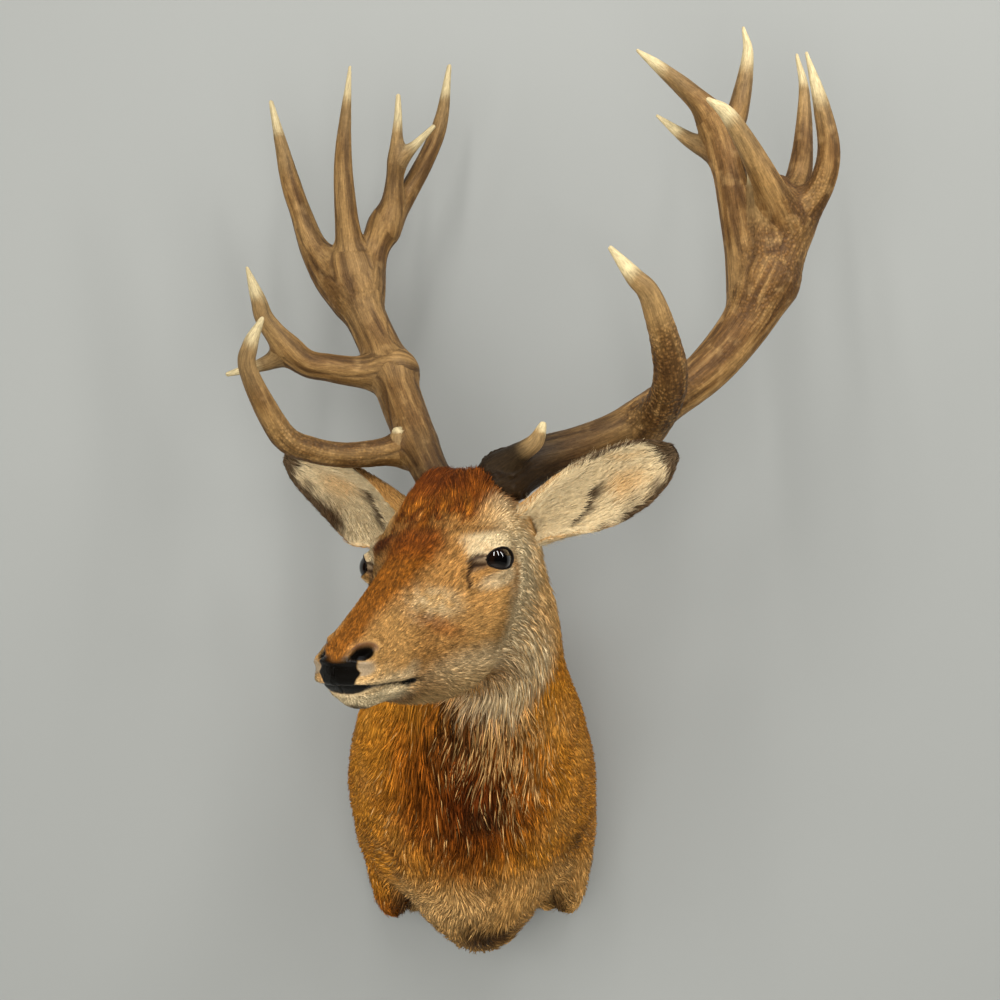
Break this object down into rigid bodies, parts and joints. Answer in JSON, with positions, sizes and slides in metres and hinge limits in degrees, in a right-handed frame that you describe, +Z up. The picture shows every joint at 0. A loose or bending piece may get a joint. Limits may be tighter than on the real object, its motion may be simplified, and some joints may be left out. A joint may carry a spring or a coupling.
{
  "type": "red deer stag shoulder mount",
  "caption": "Wall-hung taxidermy shoulder mount of an antlered red deer stag, its head turned to its right, closed at the back by a flat board.",
  "frame": {"origin": "centre of the backboard's back face, where the mount rests on the wall", "axes": "+Z up, +Y out of the backboard's back face into the wall, +X to the right of a person facing the mount; the deer faces -Y and turns its head towards -X"},
  "size_m": [0.7435, 0.6216, 1.1666],
  "materials": {
    "coat": "reddish-brown deer hair, tan and dark brown in streaks, cream round the eyes, chin and inner ears",
    "nose": "bare black skin, glossy and finely grained",
    "eye": "polished dark brown glass eye",
    "antler": "brown ridged bone, pearled on the beams, polished pale ivory at the tips",
    "plywood": "plain sanded plywood"
  },
  "bodies": {
    "root": {"backboard": "plywood", "trunk": "coat", "neck": "coat", "head": "coat", "muzzle": "coat", "lower_jaw": "coat", "nose_pad": "nose", "left_eye": "eye", "right_eye": "eye", "left_ear": "coat", "right_ear": "coat", "left_leg_stump": "coat", "right_leg_stump": "coat", "left_beam": "antler", "left_palm": "antler", "left_crown_stem": "antler", "left_brow_tine": "antler", "left_bez_tine": "antler", "left_tine_inner": "antler", "left_tine_spur": "antler", "left_tine_upright": "antler", "left_tine_front": "antler", "left_tine_back": "antler", "left_tine_outer": "antler", "right_beam": "antler", "right_crown_stem": "antler", "right_brow_tine": "antler", "right_trez_tine": "antler", "right_trez_fork": "antler", "right_tine_outer": "antler", "right_tine_middle": "antler", "right_tine_short": "antler", "right_tine_spur": "antler", "right_tine_inner": "antler"}
  },
  "joints": []
}
